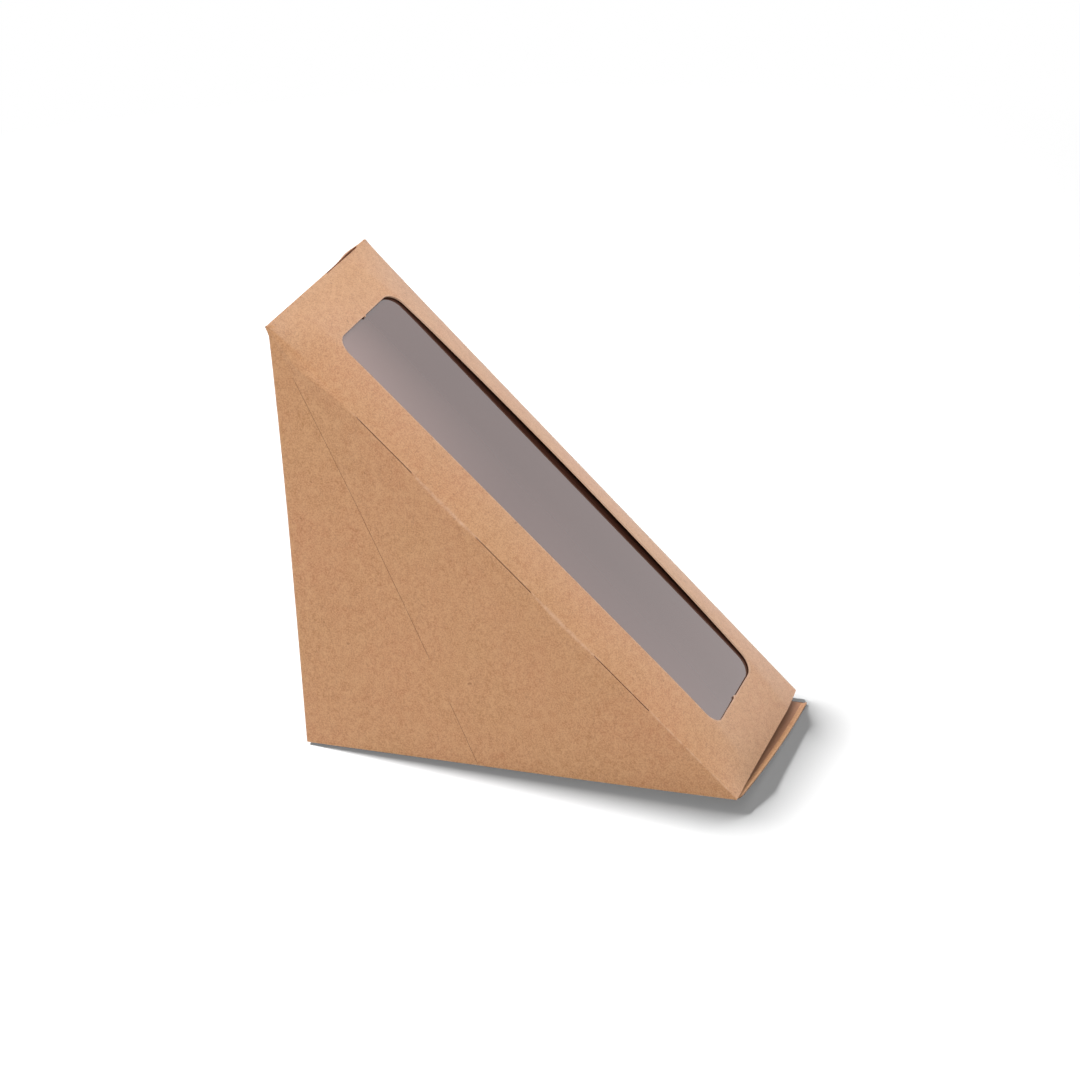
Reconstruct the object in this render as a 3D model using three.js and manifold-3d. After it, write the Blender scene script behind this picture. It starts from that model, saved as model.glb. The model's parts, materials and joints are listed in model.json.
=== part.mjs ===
// Sandwich wedge pack: a folded kraft carton with a film window and a tuck-in base lid.
// Millimetres, +Z up. X runs from one side panel to the other, the window faces -Y.
import * as THREE from 'three';
import { mergeVertices } from 'three/addons/utils/BufferGeometryUtils.js';
import Module from 'manifold-3d';

const wasm = await Module();
wasm.setup();

// The wedge, corner to corner of its outer folds.
const depth = 65;
const leg = 125;
const board = 0.5;
const clearance = 0.3;
const foldBead = 0.05;
const apexTrim = 0.6;

// The window in the front panel, and the film behind it.
const windowWidth = 35;
const windowLength = 145;
const windowRadius = 5;
const filmThickness = 0.2;
const filmLap = 6;

// How far the front panel stands out of its flat plane along each long side of the window.
const nearCrown = { base: 3.8, lean: 0.4, belly: 0 };
const farCrown = { base: 3.1, lean: -0.4, belly: 1.9 };
const filmSag = 1.5;
const crownRun = 9;
const crownAtBase = 0.3;
const stripBow = 0.35;

// Side panels: the gusset crease runs down from the apex and is pressed in.
const gussetAngle = THREE.MathUtils.degToRad(22.5);
const gussetDent = 1.2;
const gussetCuts = [[0.12, 0.757], [0.852, 1]];
const scoreWidth = 0.3;
const scoreDepth = 0.25;

// Slits cut along the folds so that the board bends there.
const slitWidth = 0.35;
const slitDepth = 1.8;
const frontSlits = { count: 3, length: 20.7, pitch: 44.5 };
const topSlits = { count: 2, length: 21, pitch: 33 };

// Flaps inside the carton.
const glueFlapWidth = 12;
const glueFlapTaper = 6;
const dustFlapWidth = 22;
const dustFlapTaper = 7;
const dustFlapGap = 2.5;

// The base lid with its tuck flap.
const lidSetback = 1.5;
const lidTaper = 0.9;
const lidDroop = 2.5;
const lidFlatWidth = 11;
const lidHingeGap = clearance;
const tuckLength = 18;
const tuckChamfer = 4.5;
const tuckTipRadius = 6;
const tuckSweep = 8;

const halfDepth = depth / 2;
const halfLeg = leg / 2;
const slope = leg * Math.SQRT2;
const diagonal = Math.SQRT1_2;
const sideMargin = (depth - windowWidth) / 2;
const lidLevel = board + lidHingeGap;

const { clamp, lerp } = THREE.MathUtils;

// Solids: a closed geometry becomes a solid that can be joined and cut.
function solidOf(geometry) {
  const bare = geometry.clone();
  bare.deleteAttribute('normal');
  bare.deleteAttribute('uv');
  const merged = mergeVertices(bare, 1e-5);
  const triVerts = new Uint32Array(merged.index.array);
  const vertProperties = merged.getAttribute('position').array;
  return new wasm.Manifold(new wasm.Mesh({ numProp: 3, vertProperties, triVerts }));
}

function geometryOf(solid) {
  const mesh = solid.getMesh();
  const geometry = new THREE.BufferGeometry();
  geometry.setAttribute('position', new THREE.BufferAttribute(mesh.vertProperties, 3));
  geometry.setIndex(new THREE.BufferAttribute(mesh.triVerts, 1));
  geometry.computeVertexNormals();
  return geometry;
}

// The same geometry on the other side of the plane X = 0, with its faces still pointing out.
function mirrored(geometry) {
  const copy = geometry.clone().scale(-1, 1, 1);
  const order = copy.index.array;
  for (let i = 0; i < order.length; i += 3) {
    [order[i + 1], order[i + 2]] = [order[i + 2], order[i + 1]];
  }
  return copy;
}

// A thin sheet bent into shape. A flat box with a grid of faces is carried to
// place(u, v, w): u and v run across the sheet, w from its first face to its second.
function bentSheet(columns, rows, place) {
  const sheet = new THREE.BoxGeometry(1, 1, 1, columns, rows, 1);
  const points = sheet.getAttribute('position');
  for (let i = 0; i < points.count; i += 1) {
    const spot = place(points.getX(i) + 0.5, points.getY(i) + 0.5, points.getZ(i) + 0.5);
    points.setXYZ(i, spot.x, spot.y, spot.z);
  }
  return sheet;
}

// A flat plate of board: an outline in the X-Y plane, as thick as the board.
function plate(outline, thickness = board) {
  const shape = new THREE.Shape(outline.map(([x, y]) => new THREE.Vector2(x, y)));
  return new THREE.ExtrudeGeometry(shape, { depth: thickness, bevelEnabled: false })
    .deleteAttribute('uv');
}

// A point over the front panel: x across, s down the slope from the apex, h out of the plane.
function frontPoint(x, s, h) {
  return new THREE.Vector3(x, halfLeg - (s + h) * diagonal, leg - (s - h) * diagonal);
}

// The crown fades out towards the apex and the base edge, and to nothing at the side folds.
function crownLevel(crown, s) {
  const rise = 1 - Math.exp(-s / crownRun);
  const fall = 1 - (1 - crownAtBase) * Math.exp(-(slope - s) / crownRun);
  const along = s / slope;
  const level = crown.base + crown.lean * (2 * along - 1) + crown.belly * Math.sin(Math.PI * along);
  return level * rise * fall;
}

function crownHeight(x, s, far) {
  const strip = clamp((halfDepth - Math.abs(x)) / sideMargin, 0, 1);
  const profile = strip * (1 + stripBow * (1 - strip));
  const side = clamp(x / windowWidth + 0.5, 0, 1);
  return profile * lerp(crownLevel(nearCrown, s), crownLevel(far, s), side);
}

function frontPanel() {
  const first = apexTrim;
  const last = slope - 3 * board / 2;
  return bentSheet(12, 26, (u, v, w) => {
    const x = lerp(-halfDepth, halfDepth, u);
    const s = lerp(last, first, v);
    return frontPoint(x, s, crownHeight(x, s, farCrown) - board * (1 - w));
  });
}

function windowCutter() {
  const right = windowWidth / 2;
  const top = windowLength / 2;
  const r = windowRadius;
  const shape = new THREE.Shape();
  shape.moveTo(right - r, -top);
  shape.absarc(right - r, -top + r, r, -Math.PI / 2, 0);
  shape.absarc(right - r, top - r, r, 0, Math.PI / 2);
  shape.absarc(-right + r, top - r, r, Math.PI / 2, Math.PI);
  shape.absarc(-right + r, -top + r, r, Math.PI, Math.PI * 1.5);
  const reach = 4 * farCrown.base;
  const cutter = new THREE.ExtrudeGeometry(shape, {
    depth: 2 * reach, bevelEnabled: false, curveSegments: 6,
  });
  const middle = frontPoint(0, slope / 2, -reach);
  return cutter.rotateX(Math.PI / 4).translate(middle.x, middle.y, middle.z);
}

// The gusset: how far in the side panel lies, u from the back fold over the crease to the
// front fold, v from the apex down to the base.
function gussetIn(u, v) {
  return gussetDent * (1 - Math.abs(2 * u - 1)) * 4 * v * (1 - v);
}

// A side panel ends inside the thickness of the two panels that it joins.
function sidePoint(u, v, inward) {
  const back = halfLeg - board / 2;
  const front = -halfLeg + board * diagonal;
  const apex = back + leg - halfLeg - board * diagonal;
  const creaseFoot = back - apex * Math.tan(gussetAngle);
  const foot = u < 0.5 ? lerp(back, creaseFoot, 2 * u) : lerp(creaseFoot, front, 2 * u - 1);
  const x = -halfDepth + foldBead + gussetIn(u, v) + inward;
  return new THREE.Vector3(x, lerp(back, foot, v), apex * (1 - v));
}

function sidePanel() {
  const apexCut = 2 * board / leg;
  return bentSheet(6, 8, (u, v, w) => sidePoint(u, lerp(apexCut, 1, v), board * w));
}

// The score along the gusset crease: a shallow groove in the panel's outer face.
function gussetScore([start, end]) {
  const creaseLength = leg / Math.cos(gussetAngle);
  return bentSheet(1, 8, (u, v, w) => {
    const along = lerp(start, end * (1 + board / creaseLength), v);
    const spot = sidePoint(0.5, along, lerp(-board, scoreDepth, w));
    spot.y += (0.5 - u) * scoreWidth / Math.cos(gussetAngle);
    return spot;
  });
}

function backPanel() {
  const height = leg - apexTrim;
  return new THREE.BoxGeometry(depth, board, height)
    .translate(0, halfLeg - board / 2, height / 2);
}

// The glue flap of a side panel lies flat on the back panel's inner face.
function glueFlap() {
  const low = glueFlapTaper + 2 * board;
  const high = leg - 2 * glueFlapWidth;
  const inner = -halfDepth + glueFlapWidth;
  const outline = [[-halfDepth + board / 2, low - glueFlapTaper], [inner, low],
    [inner, high - glueFlapTaper], [-halfDepth + board / 2, high]];
  return plate(outline, 1.1 * board).rotateX(Math.PI / 2).translate(0, halfLeg - 0.9 * board, 0);
}

// Two dust flaps on the bottom fold of a side panel, one on each side of the gusset crease.
function dustFlaps() {
  const creaseFoot = halfLeg - leg * Math.tan(gussetAngle);
  const frontEnd = -halfLeg + tuckLength * diagonal + tuckSweep;
  const stretches = [[creaseFoot + dustFlapGap, halfLeg - 2 * dustFlapGap],
    [frontEnd, creaseFoot - dustFlapGap]];
  return stretches.map(([from, to]) => plate([
    [-halfDepth + board / 2, from], [-halfDepth + dustFlapWidth, from + dustFlapTaper],
    [-halfDepth + dustFlapWidth, to - dustFlapTaper], [-halfDepth + board / 2, to]]));
}

// A slit through a fold: a thin blade along X, stood on the fold's edge, turned about X
// by roll and then set in place.
function slitBlade(length) {
  return new THREE.BoxGeometry(length, slitWidth, 2 * slitDepth);
}

function centred(slits) {
  return Array.from({ length: slits.count }, (_, i) => (i - (slits.count - 1) / 2) * slits.pitch);
}

function topFoldSlits() {
  const bisector = THREE.MathUtils.degToRad(-22.5);
  return centred(topSlits).map((x) => slitBlade(topSlits.length)
    .rotateX(bisector).translate(x, halfLeg, leg));
}

function frontFoldSlits() {
  return centred(frontSlits).map((offset) => {
    const spot = frontPoint(-halfDepth, slope / 2 + offset, 0);
    return slitBlade(frontSlits.length).rotateX(-Math.PI / 4).rotateZ(Math.PI / 2)
      .rotateX(Math.PI / 4).translate(spot.x, spot.y, spot.z);
  });
}

function carton() {
  const oneSide = [sidePanel(), glueFlap(), ...dustFlaps()];
  const indexed = oneSide.map((piece) => mergeVertices(piece.deleteAttribute('normal')
    .deleteAttribute('uv'), 1e-5));
  const panels = [frontPanel(), backPanel(), ...indexed, ...indexed.map(mirrored)];
  const scores = gussetCuts.map(gussetScore);
  const slits = frontFoldSlits();
  const cuts = [windowCutter(), ...topFoldSlits(), ...slits, ...slits.map(mirrored),
    ...scores, ...scores.map(mirrored)];
  const joined = panels.map(solidOf).reduce((whole, piece) => whole.add(piece));
  return geometryOf(cuts.map(solidOf).reduce((whole, cut) => whole.subtract(cut), joined));
}

// The film is glued behind the window and hangs clear of the crowned far strip.
function windowFilm() {
  const halfWidth = windowWidth / 2 + filmLap;
  const halfLength = windowLength / 2 + filmLap;
  const filmCrown = { ...farCrown, belly: farCrown.belly - filmSag };
  return bentSheet(10, 24, (u, v, w) => {
    const x = lerp(-halfWidth, halfWidth, u);
    const s = slope / 2 + lerp(halfLength, -halfLength, v);
    const face = crownHeight(x, s, filmCrown) - board - clearance;
    return frontPoint(x, s, face - filmThickness * (1 - w));
  });
}

// The lid droops towards its far front corner: a strip there lies flat, the rest is twisted.
function lidDrop(x) {
  const halfWidth = halfDepth - lidSetback;
  const flatFrom = halfWidth - lidFlatWidth;
  return lidLevel + lidDroop * clamp((x + halfWidth) / (flatFrom + halfWidth), 0, 1);
}

// Half the lid's width: tapered to the front fold, then chamfered and rounded on the tuck.
function tuckHalfWidth(t) {
  const atFold = halfDepth - lidSetback - lidTaper;
  const chamfer = Math.min(t, tuckChamfer);
  const intoTip = Math.max(0, t - (tuckLength - tuckTipRadius));
  return atFold - chamfer - (tuckTipRadius - Math.sqrt(tuckTipRadius ** 2 - intoTip ** 2));
}

// The lid's underside runs from the hinge to the front fold, and the tuck's outer face climbs
// from there behind the front panel. Both are as thick as the board.
function baseLid() {
  const lidRows = 6;
  const tuckSteps = [0, 0.25, 0.5, 0.67, 0.8, 0.9, 0.97, 1];
  const rows = lidRows + tuckSteps.length - 1;
  const tuckInset = (board + clearance) * Math.SQRT2;
  return bentSheet(12, rows, (u, v, w) => {
    const row = Math.round(v * rows);
    const onLid = Math.min(1, row / lidRows);
    const t = tuckLength * tuckSteps[Math.max(0, row - lidRows)];
    const lidHalf = halfDepth - lidSetback - lidTaper * onLid;
    const x = (1 - 2 * u) * (row > lidRows ? tuckHalfWidth(t) : lidHalf);
    const drop = lidDrop(x);
    const foldY = -halfLeg + tuckInset - drop;
    const y = lerp(halfLeg, foldY, onLid) + t * diagonal;
    const z = lerp(-lidLevel, -drop, onLid) + t * diagonal;
    const mitre = onLid < 1 ? 0 : board * (1 + Math.SQRT2);
    const inner = row > lidRows ? new THREE.Vector3(0, board * diagonal, -board * diagonal)
      : new THREE.Vector3(0, mitre, board);
    return new THREE.Vector3(x, y, z).addScaledVector(inner, w);
  });
}

const kraft = { color: 0xc3966d, roughness: 0.86, metalness: 0 };
const film = { color: 0x8d8182, roughness: 0.25, metalness: 0, transparent: true, opacity: 0.6 };

function named(name, geometry, finish) {
  const mesh = new THREE.Mesh(geometry, new THREE.MeshStandardMaterial(finish));
  mesh.name = name;
  return mesh;
}

// The pack stands on the back end of the lid and on the lid's flat strip, so it leans back.
const restTilt = Math.atan2(lidDroop, leg + lidDroop);
const stood = new THREE.Group();
stood.add(
  named('carton', carton(), kraft),
  named('base_lid', baseLid(), kraft),
  named('window_film', windowFilm(), film),
);
stood.rotation.x = -restTilt;

const pack = new THREE.Group();
pack.add(stood);
const reach = new THREE.Box3().setFromObject(pack, true);
stood.position.set(0, -(reach.min.y + reach.max.y) / 2, -reach.min.z);

export default pack;
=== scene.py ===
"""Looks of a sandwich wedge pack: kraft board, cut edges, fold slits and a window film.

The pack is worked out in its own upright frame, in metres: X runs from the near side panel to
the far one, the back panel stands on y = leg / 2 and the base lies on z = 0. It is then turned
about the lid's hinge to the lean at which it stands.
"""
import json
import math
from types import SimpleNamespace

import bmesh
import bpy
import numpy as np
from bpy.props import FloatProperty, FloatVectorProperty, PointerProperty
from mathutils import Matrix, Vector


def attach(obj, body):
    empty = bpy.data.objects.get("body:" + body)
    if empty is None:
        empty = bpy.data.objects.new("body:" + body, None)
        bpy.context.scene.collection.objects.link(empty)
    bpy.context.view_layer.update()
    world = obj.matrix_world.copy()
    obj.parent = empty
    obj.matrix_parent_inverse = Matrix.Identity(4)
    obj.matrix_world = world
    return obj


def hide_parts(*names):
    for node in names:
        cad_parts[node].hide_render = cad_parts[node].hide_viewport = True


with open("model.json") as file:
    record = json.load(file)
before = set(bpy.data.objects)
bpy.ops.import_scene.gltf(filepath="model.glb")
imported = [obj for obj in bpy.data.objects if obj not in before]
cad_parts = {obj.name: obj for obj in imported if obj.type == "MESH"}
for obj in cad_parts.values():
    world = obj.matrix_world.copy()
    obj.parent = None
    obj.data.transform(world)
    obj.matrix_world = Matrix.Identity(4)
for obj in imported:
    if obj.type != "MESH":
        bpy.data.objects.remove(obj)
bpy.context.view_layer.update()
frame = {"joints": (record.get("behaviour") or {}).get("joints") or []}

bl_info = {
    "name": "Sandwich wedge pack",
    "version": (1, 0, 0),
    "blender": (4, 5, 0),
    "location": "3D View > Sidebar > Wedge Pack",
    "description": "Builds a folded kraft sandwich wedge with its window film and base lid",
    "category": "Add Mesh",
}

MM = 0.001
CARTON_BODY = "carton"
LID_BODY = "base_lid"
HINGE = next(joint for joint in frame["joints"] if joint["name"] == "lid_hinge")["pos_m"]


def length(name, description, default):
    """A size in metres that a user may change."""
    return FloatProperty(name=name, description=description, default=default,
                         min=0.0, unit="LENGTH", precision=5)


def colour(name, description, default):
    """A linear colour that a user may change."""
    return FloatVectorProperty(name=name, description=description, default=default,
                               size=3, min=0.0, max=1.0, subtype="COLOR")


class WedgeSizes(bpy.types.PropertyGroup):
    """Sizes of the board blank, its window, its folds and its lid."""
    depth: length("Depth", "Side panel to side panel", 65 * MM)
    leg: length("Leg", "Height of the back panel and length of the base", 125 * MM)
    board: length("Board", "Thickness of the board", 0.5 * MM)
    window_width: length("Window width", "Across the front panel", 36 * MM)
    window_length: length("Window length", "Down the front panel", 145 * MM)
    window_radius: length("Window radius", "Rounding of the window's corners", 5 * MM)
    fold_radius: length("Fold radius", "Outer radius of the long folds", 0.5 * MM)
    soft_fold: length("Soft fold", "Outer radius of a long fold above its first slit", 3.2 * MM)
    bridge_fold: length("Bridge fold", "Outer radius of a long fold between slits", 1.3 * MM)
    apex_radius: length("Apex radius", "Outer radius of the top fold", 0.5 * MM)
    apex_push: length("Apex push", "How far the top fold is pushed out", 0.75 * MM)
    near_crown: length("Near crown", "Rise of the near strip beside the window", 3.2 * MM)
    far_crown: length("Far crown", "Rise of the far strip at its ends", 3.4 * MM)
    far_belly: length("Far belly", "Extra rise in the middle of the far strip", 1.9 * MM)
    crown_lean: length("Crown lean", "Rise gained by the near strip down the slope", 0.3 * MM)
    crown_run: length("Crown run", "Distance over which the crown fades at the ends", 9 * MM)
    film_belly: length("Film belly", "Rise of the film in the middle of its far side", 0.8 * MM)
    twist: length("Twist", "How far the front panel's corners are off its plane", 0.85 * MM)
    back_bow: length("Back bow", "How far the near back edge is bowed in", 0.1 * MM)
    back_setback: length("Back setback", "From a side panel's face to the back panel's edge", 2.2 * MM)
    film_lap: length("Film lap", "Width of film glued around the window", 6 * MM)
    film_thickness: length("Film thickness", "Thickness of the film", 0.1 * MM)
    gusset_dent: length("Gusset dent", "How far the side's crease is pressed in", 1.2 * MM)
    slit_length: length("Slit length", "Length of a slit in a long fold", 20.7 * MM)
    slit_pitch: length("Slit pitch", "From slit to slit along a long fold", 44.5 * MM)
    lid_setback: length("Lid setback", "From a side panel's face to the lid's edge", 1.6 * MM)
    lid_taper: length("Lid taper", "What the lid narrows by at its front, each side", 0.9 * MM)
    lid_droop: length("Lid droop", "How far the lid's far front corner hangs", 2.5 * MM)
    lid_skew: length("Lid skew", "How far the lid's front is out of true sideways", 0.6 * MM)
    lid_push: length("Lid push", "How far the lid's front fold stands out", 1.7 * MM)
    tuck_sink: length("Tuck sink", "How far the tuck dips under the front panel", 3.5 * MM)
    tuck_length: length("Tuck length", "From the lid's front fold to the tuck's tip", 18 * MM)


class WedgeColours(bpy.types.PropertyGroup):
    """Linear colours of the board, its inside, its cut edges, its slits and the film."""
    kraft: colour("Kraft", "Middle tone of the board", (0.500, 0.238, 0.098))
    kraft_red: colour("Kraft red", "Redder clouds of the board", (0.515, 0.222, 0.098))
    kraft_light: colour("Kraft light", "Pale fibres of the board", (0.660, 0.362, 0.182))
    kraft_dark: colour("Kraft dark", "Dark hairs of the board", (0.310, 0.125, 0.048))
    # Painted shade: the inside's colour darkens the inner faces for the shade inside the pack.
    inside: colour("Inside", "Shaded inner face of the board", (0.330, 0.135, 0.065))
    cut_edge: colour("Cut edge", "Raw edge of the board", (0.700, 0.450, 0.310))
    # Painted shade: the slit colour darkens the inner faces and cut edges by each knife cut, where
    # shade falls in the cut.
    slit: colour("Slit", "Edges of the knife cuts", (0.260, 0.080, 0.030))
    # Painted shade: the film's body colour stands in for the shaded inside seen through the film,
    # which is nearly opaque.
    film: colour("Film", "Body of the film", (0.060, 0.022, 0.014))
    # Painted light: this colour lightens the film towards its near top corner.
    film_haze: colour("Film haze", "The film's haze at its near top corner", (0.220, 0.135, 0.115))


GUSSET_ANGLE = math.radians(22.5)
LID_GAP = 0.3 * MM

# How many boards short of the base edge the front panel stops.
FRONT_SHORTFALL = 0.2


def shape_of(context):
    """The sizes as plain numbers, with those that follow from them."""
    sizes = context.scene.wedge_sizes
    shape = SimpleNamespace(**{name: getattr(sizes, name) for name in WedgeSizes.__annotations__})
    shape.half_depth = shape.depth / 2
    shape.half_leg = shape.leg / 2
    shape.slope = shape.leg * math.sqrt(2)
    shape.margin = (shape.depth - shape.window_width) / 2
    shape.apex_start = shape.apex_radius * (1 + math.sqrt(2))
    shape.front_end = shape.slope - FRONT_SHORTFALL * shape.board
    shape.lid_level = shape.board + LID_GAP
    shape.tilt = math.atan2(shape.lid_droop, shape.leg + shape.lid_droop)
    shape.crease_foot = shape.half_leg - shape.leg * math.tan(GUSSET_ANGLE)
    return shape


HALF_ROOT = math.sqrt(0.5)

# How far the board turns round the top fold and the lid's front fold, half of the corner that
# is left at the base, and the way up the line that halves the wedge at its top.
WEDGE_BEND = math.radians(135)
HALF_BASE_ANGLE = math.radians(22.5)
BISECTOR = math.radians(67.5)

# How far the hand's changes reach: the top's push down the slope, the twist behind the front
# panel, and the back edge's bow across and forwards.
APEX_FADE = 12 * MM
TWIST_REACH = 40 * MM
BOW_ACROSS = 10 * MM
BOW_AHEAD = 30 * MM


def folded_by_hand(shape, points):
    """The pack is not quite square. It is twisted by twist * across * along at the front panel,
    and evenly less behind it. The top is pushed out along the line that halves the wedge, fading
    as an exponential down the slope. The near back edge is bowed in as a parabola."""
    x, y, z = points[..., 0], points[..., 1], points[..., 2]
    s = ((shape.half_leg - y) + (shape.leg - z)) * HALF_ROOT
    h = ((shape.half_leg - y) - (shape.leg - z)) * HALF_ROOT
    across = x / shape.half_depth
    along = 1 - 2 * s / shape.slope
    lift = shape.twist * across * along * np.clip(1 + h / TWIST_REACH, 0, 1)
    cut = shape.apex_push * np.exp(-np.abs(s) / APEX_FADE)
    up = z / shape.leg
    near = np.clip(1 - x / BOW_ACROSS, 0, 1) * np.clip(1 - (shape.half_leg - y) / BOW_AHEAD, 0, 1)
    bow = shape.back_bow * np.clip(4 * up * (1 - up), 0, 1) * near
    return np.stack([x, y - lift * HALF_ROOT + cut * math.cos(BISECTOR) - bow,
                     z + lift * HALF_ROOT + cut * math.sin(BISECTOR)], -1)


def stood(shape, points):
    """Turns upright points about the lid's hinge by the pack's lean."""
    y = points[..., 1] - shape.half_leg
    z = points[..., 2]
    cos, sin = math.cos(shape.tilt), math.sin(shape.tilt)
    return np.stack([points[..., 0], HINGE[1] + y * cos + z * sin, HINGE[2] - y * sin + z * cos], -1)


def front_point(shape, x, s, h):
    """A point over the front panel: x across, s down the slope from the apex, h out of the plane."""
    x, s, h = np.broadcast_arrays(x, s, h)
    return np.stack([x, shape.half_leg - (s + h) * HALF_ROOT, shape.leg - (s - h) * HALF_ROOT], -1)


class Shell:
    """Grids of points gathered into one mesh of quads."""

    def __init__(self):
        self.points = []
        self.faces = []
        self.folds = []
        self.slits = []
        self.count = 0

    def add(self, grid, flip=False, keep=None, closed=False, fold=0.0, slit=0.0):
        """Adds a grid of points, rows by columns. keep marks the cells that are wanted, a closed grid
        joins its last row to its first, fold says how pale a point is along a worn crease or round the
        window's rim, and slit whether it is on the edge of a knife cut, where painted shade goes."""
        rows, columns = grid.shape[:2]
        index = np.arange(rows * columns).reshape(rows, columns) + self.count
        if closed:
            index = np.vstack([index, index[:1]])
        cells = np.stack([index[:-1, :-1], index[:-1, 1:], index[1:, 1:], index[1:, :-1]], -1)
        if flip:
            cells = cells[..., ::-1]
        wanted = cells if keep is None else cells[keep]
        self.points.append(grid.reshape(-1, 3))
        self.folds.append(np.broadcast_to(fold, grid.shape[:2]).reshape(-1))
        self.slits.append(np.broadcast_to(slit, grid.shape[:2]).reshape(-1))
        self.faces.append(wanted.reshape(-1, 4))
        self.count += rows * columns


WELD = 2e-6
SLIVER = 1e-7
SHARP_ANGLE = math.radians(40)


def shell_object(context, shape, name, shell, thickness, materials, by_hand=True):
    """Makes the gathered grids one object with a real thickness: its doubles are merged and the
    sheet grows inwards. The inside takes the second material and the rim the last one."""
    mesh = bpy.data.meshes.new(name)
    points = np.concatenate(shell.points)
    if by_hand:
        points = folded_by_hand(shape, points)
    points = stood(shape, points)
    mesh.from_pydata(points.tolist(), [], np.concatenate(shell.faces).tolist())
    for label, values in (("fold", shell.folds), ("slit", shell.slits)):
        layer = mesh.attributes.new(label, "FLOAT", "POINT")
        layer.data.foreach_set("value", np.concatenate(values).astype(float))
    work = bmesh.new()
    work.from_mesh(mesh)
    bmesh.ops.remove_doubles(work, verts=work.verts, dist=WELD)
    bmesh.ops.dissolve_degenerate(work, edges=work.edges, dist=SLIVER)
    loose = [v for v in work.verts if not v.link_faces]
    bmesh.ops.delete(work, geom=loose, context="VERTS")
    work.to_mesh(mesh)
    work.free()
    piece = bpy.data.objects.new(name, mesh)
    context.scene.collection.objects.link(piece)
    for material in materials:
        mesh.materials.append(material)
    wall = piece.modifiers.new("board", "SOLIDIFY")
    wall.thickness = thickness
    wall.offset = -1
    wall.use_rim = True
    wall.material_offset = min(1, len(materials) - 1)
    wall.material_offset_rim = len(materials) - 1
    context.view_layer.update()
    depsgraph = context.evaluated_depsgraph_get()
    solid = bpy.data.meshes.new_from_object(piece.evaluated_get(depsgraph))
    piece.modifiers.clear()
    piece.data = solid
    solid.name = name
    solid.polygons.foreach_set("use_smooth", np.ones(len(solid.polygons), dtype=bool))
    solid.set_sharp_from_angle(angle=SHARP_ANGLE)
    return piece


NEAR_AT_BASE = 0.0
FAR_AT_BASE = 0.4
CROWN_POWER = 1.3


def crown_level(shape, base, lean, belly, at_base, s):
    """How far a strip beside the window stands out: a base, a lean from end to end and a sine
    belly, faded by exponentials at the apex and, down to a share, at the base edge."""
    along = s / shape.slope
    rise = 1 - np.exp(-(np.maximum(s - shape.apex_start, 0) / shape.crown_run) ** CROWN_POWER)
    fall = 1 - (1 - at_base) * np.exp(-(shape.slope - s) / shape.crown_run)
    return (base + lean * (2 * along - 1) + belly * np.sin(np.pi * along)) * rise * fall


def crown_levels(shape, s, belly=None):
    """The crown of the near strip and of the far strip at s."""
    near = crown_level(shape, shape.near_crown, shape.crown_lean, 0, NEAR_AT_BASE, s)
    far_belly = shape.far_belly if belly is None else belly
    return near, crown_level(shape, shape.far_crown, 0, far_belly, FAR_AT_BASE, s)


STRIP_BOW = 0.35
SOFT_PEAK = 14 * MM
SOFT_REACH = 9 * MM
BRIDGE_REACH = 10 * MM


def fold_start(shape, level, s, near):
    """Where the front panel runs into a long fold: the distance from the middle, the height
    there, the panel's lean, and the fold's radius. The radius grows from nothing at the apex.
    On the near side it swells as a bell above the first slit, where the board is bent without a
    crease, and as a flatter bell on each bridge between two slits."""
    lean = np.arctan(level * (1 + STRIP_BOW) / shape.margin)
    run = s - shape.apex_start
    swell = (shape.soft_fold - shape.fold_radius) * np.exp(-((s - SOFT_PEAK) / SOFT_REACH) ** 2)
    for place in (-0.5, 0.5):
        bridge = (s - shape.slope / 2 - place * shape.slit_pitch) / BRIDGE_REACH
        swell = swell + (shape.bridge_fold - shape.fold_radius) * np.exp(-bridge ** 4)
    swell = swell * np.where(near, 1.0, 0.0)
    radius = (shape.fold_radius + swell) * run / (run + 3 * shape.fold_radius)
    return shape.half_depth - radius * (1 - np.sin(lean)), -radius * (1 - np.cos(lean)), lean, radius


def front_height(shape, x, s, belly=None):
    """The front panel's height: from the long folds it climbs to the window's edge on a slightly
    bowed strip, and goes straight from the near strip's level to the far one's between."""
    near, far = crown_levels(shape, s, belly)
    edge, sunk, _, _ = fold_start(shape, np.where(x < 0, near, far), s, x < 0)
    window_half = shape.window_width / 2
    strip = np.clip((edge - np.abs(x)) / (edge - window_half), 0, 1)
    side = np.clip(x / shape.window_width + 0.5, 0, 1)
    level = near + (far - near) * side
    return level * strip * (1 + STRIP_BOW * (1 - strip)) + sunk * (1 - strip)


def even_steps(marks, step):
    """Points along a line that pass through all marks, with gaps of about one step between."""
    marks = np.unique(np.round(np.asarray(marks, dtype=float), 7))
    runs = [np.linspace(a, b, max(2, int(round((b - a) / step)) + 1))[:-1]
            for a, b in zip(marks[:-1], marks[1:])]
    return np.append(np.concatenate(runs), marks[-1])


def slit_spans(middle, count, slit, pitch):
    """The start and end of each of a row of slits about the middle."""
    centres = middle + (np.arange(count) - (count - 1) / 2) * pitch
    return [(c - slit / 2, c + slit / 2) for c in centres]


TOUCH = 1e-9


def in_spans(steps, spans):
    """For each step, whether it lies in one of the spans or at its end."""
    return np.any([(steps > a - TOUCH) & (steps < b + TOUCH) for a, b in spans], axis=0)


def inside_spans(steps, spans):
    """For each gap between steps, whether it lies in one of the spans."""
    middles = (steps[:-1] + steps[1:]) / 2
    return np.any([(middles > a) & (middles < b) for a, b in spans], axis=0)


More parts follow.
